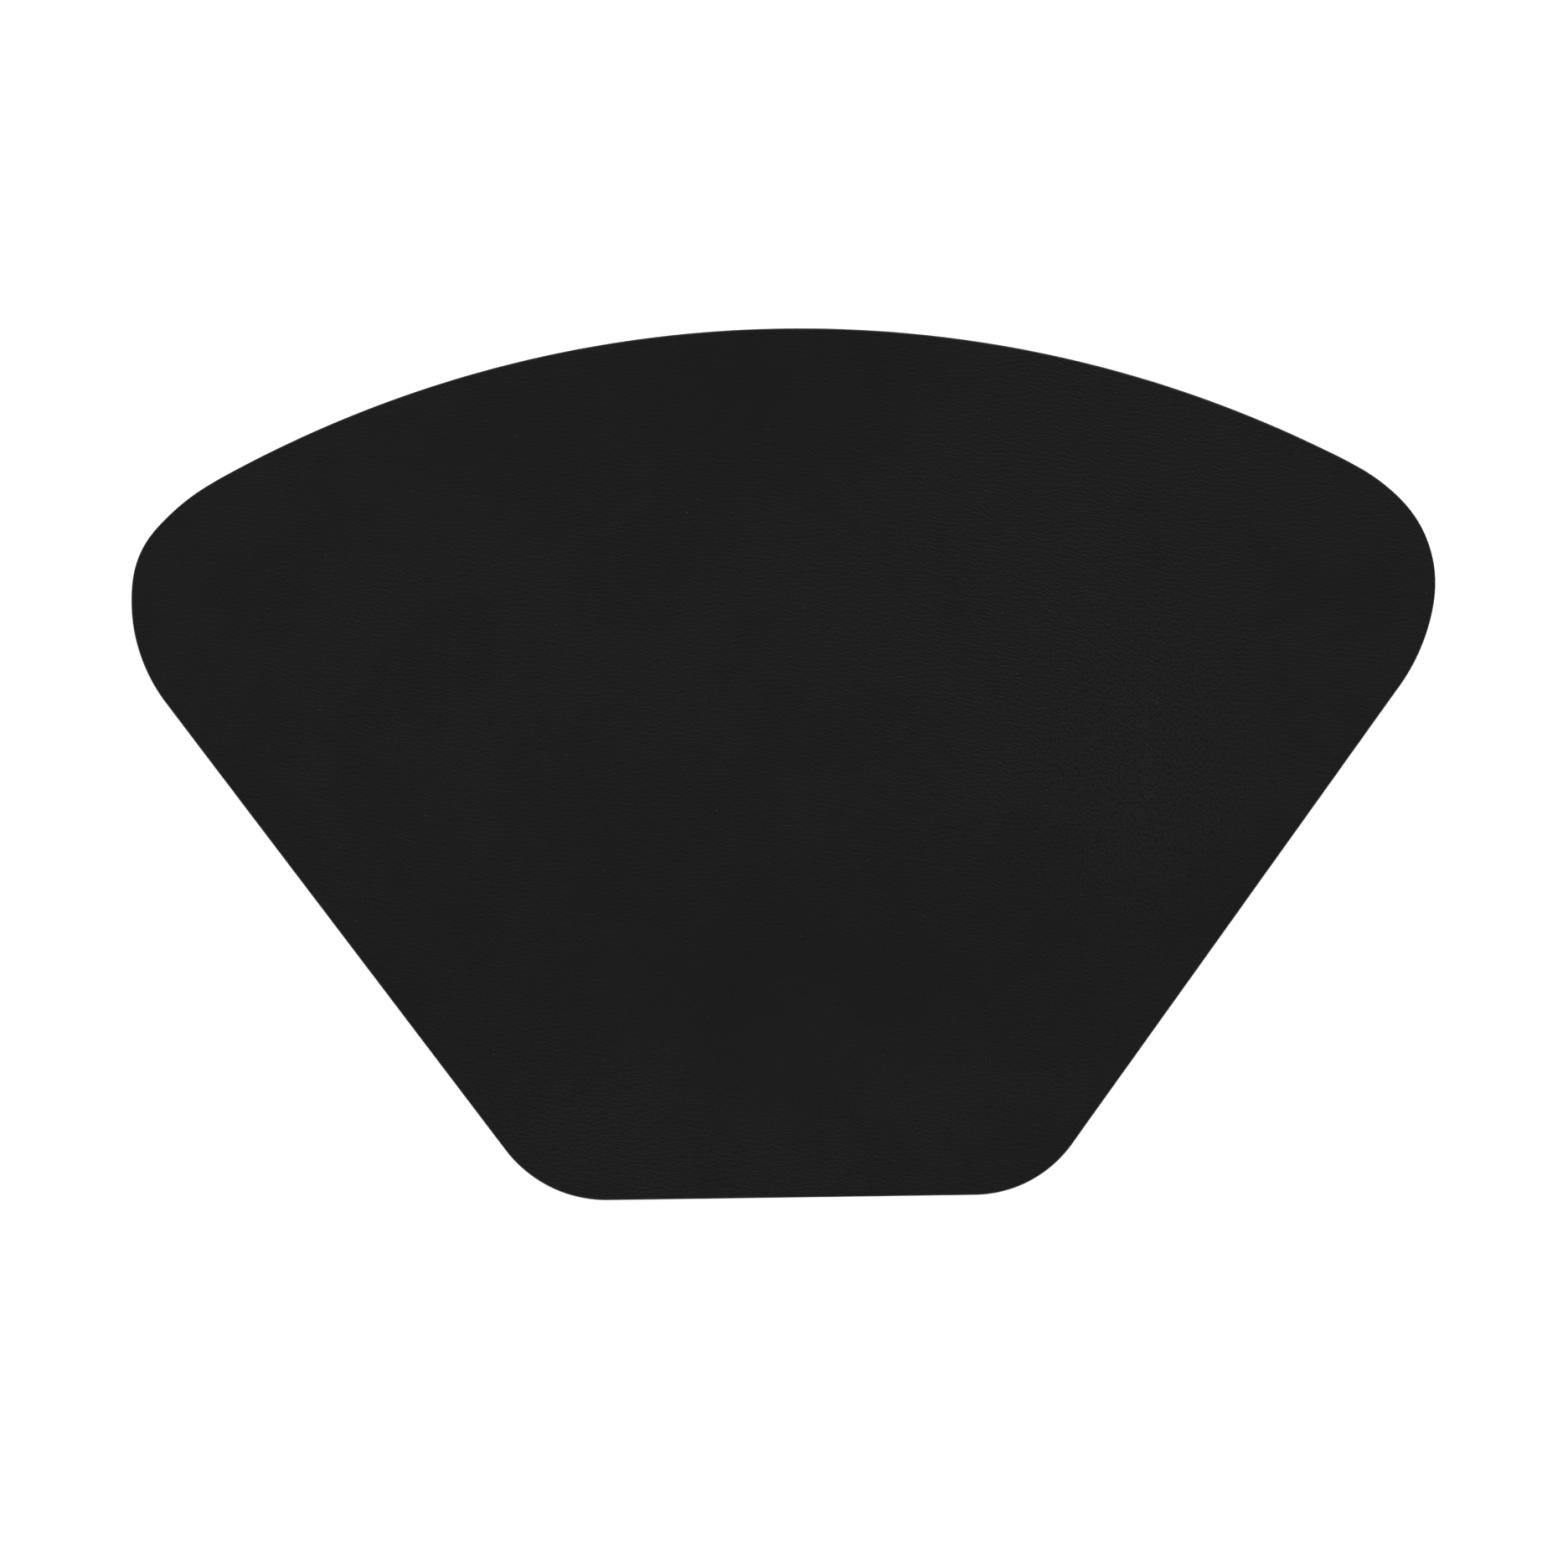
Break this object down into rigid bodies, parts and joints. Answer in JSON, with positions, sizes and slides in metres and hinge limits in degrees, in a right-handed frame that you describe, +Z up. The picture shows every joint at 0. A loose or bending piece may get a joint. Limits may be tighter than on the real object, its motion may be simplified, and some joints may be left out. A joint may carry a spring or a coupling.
{
  "type": "desk mat",
  "caption": "Flat wedge-shaped leather desk mat for one seat at a round table, with a long curved front edge, straight sides, rounded corners and a non-slip suede underside.",
  "frame": {"origin": "centre of the mat's bounding box, on the underside that rests on the table", "axes": "+Z up out of the leather face, +Y toward the long curved front edge, +X along the mat's width"},
  "size_m": [0.6001, 0.3999, 0.0035],
  "materials": {
    "face_leather": "black leather with a fine pebbled and creased grain, satin",
    "backing_suede": "charcoal microfibre suede with a short nap, matt",
    "fibre_board": "brown bonded leather-fibre board, matt",
    "bonding_film": "thin milky bonding film, matt",
    "edge_paint": "black edge paint in a rounded coat, satin"
  },
  "bodies": {
    "root": {"leather_face": "face_leather", "upper_bonding_film": "bonding_film", "stiffener_board": "fibre_board", "lower_bonding_film": "bonding_film", "suede_backing": "backing_suede", "edge_coat": "edge_paint"}
  },
  "joints": []
}
